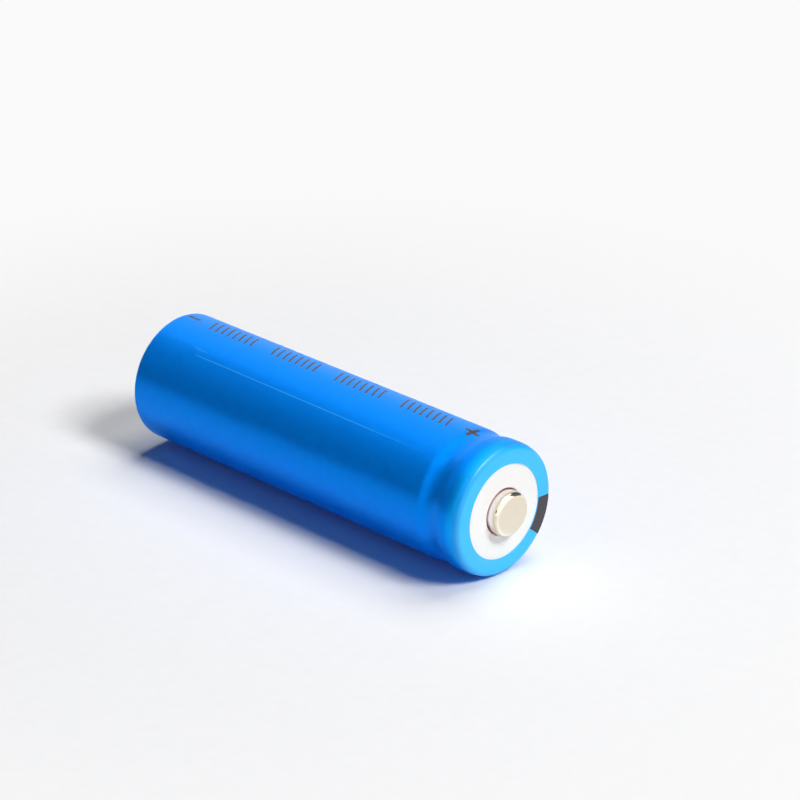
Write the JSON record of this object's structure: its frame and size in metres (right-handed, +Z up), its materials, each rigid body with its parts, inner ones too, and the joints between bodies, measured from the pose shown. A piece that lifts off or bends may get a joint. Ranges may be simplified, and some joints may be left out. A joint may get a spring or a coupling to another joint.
{
  "type": "cylindrical battery cell",
  "caption": "Cylindrical lithium-ion cell in a blue shrink sleeve, with a raised contact button, insulating washer, beaded and crimped can, safety header and a wound electrode roll inside.",
  "frame": {"origin": "centre of the negative contact face, on the cell's axis", "axes": "+X along the cell's axis from the negative face to the positive button; +Z up with the cell lying on its side"},
  "size_m": [0.0492, 0.0142, 0.0142],
  "materials": {
    "blue_film": "semi-gloss shrunk vinyl",
    "washer_paper": "smooth white paper",
    "button_nickel": "satin nickel plate",
    "nickel_plated_steel": "bright nickel plate",
    "aluminium_sheet": "rolled",
    "natural_polypropylene": "moulded",
    "fuse_polymer": "carbon-filled",
    "insulating_board": "fibre board",
    "cathode_coating": "rolled oxide coating",
    "anode_coating": "rolled graphite coating",
    "separator_film": "microporous film",
    "nickel_strip": "rolled",
    "amber_tape": "adhesive film",
    "green_tape": "adhesive film"
  },
  "bodies": {
    "cell": {"can": "nickel_plated_steel", "crimp_gasket": "natural_polypropylene", "vent_rim": "aluminium_sheet", "carrier_ring": "natural_polypropylene", "interrupter_plate": "aluminium_sheet", "ptc_ring": "fuse_polymer", "top_cap": "nickel_plated_steel", "positive_button": "button_nickel", "insulating_washer": "washer_paper", "shrink_sleeve": "blue_film", "top_disc": "insulating_board", "base_disc": "insulating_board", "cathode_sheet": "cathode_coating", "anode_sheet": "anode_coating", "inner_separator": "separator_film", "outer_separator": "separator_film", "cathode_tab": "aluminium_sheet", "anode_tab": "nickel_strip", "cathode_tab_tape": "amber_tape", "anode_tab_tape": "amber_tape", "roll_tape": "green_tape"},
    "safety_disc_centre": {"vent_dome": "aluminium_sheet"}
  },
  "joints": [
    {"name": "safety_disc_lift", "type": "slide", "parent": "cell", "child": "safety_disc_centre", "axis": [1, 0, 0], "range_m": [0, 0.0004]}
  ]
}
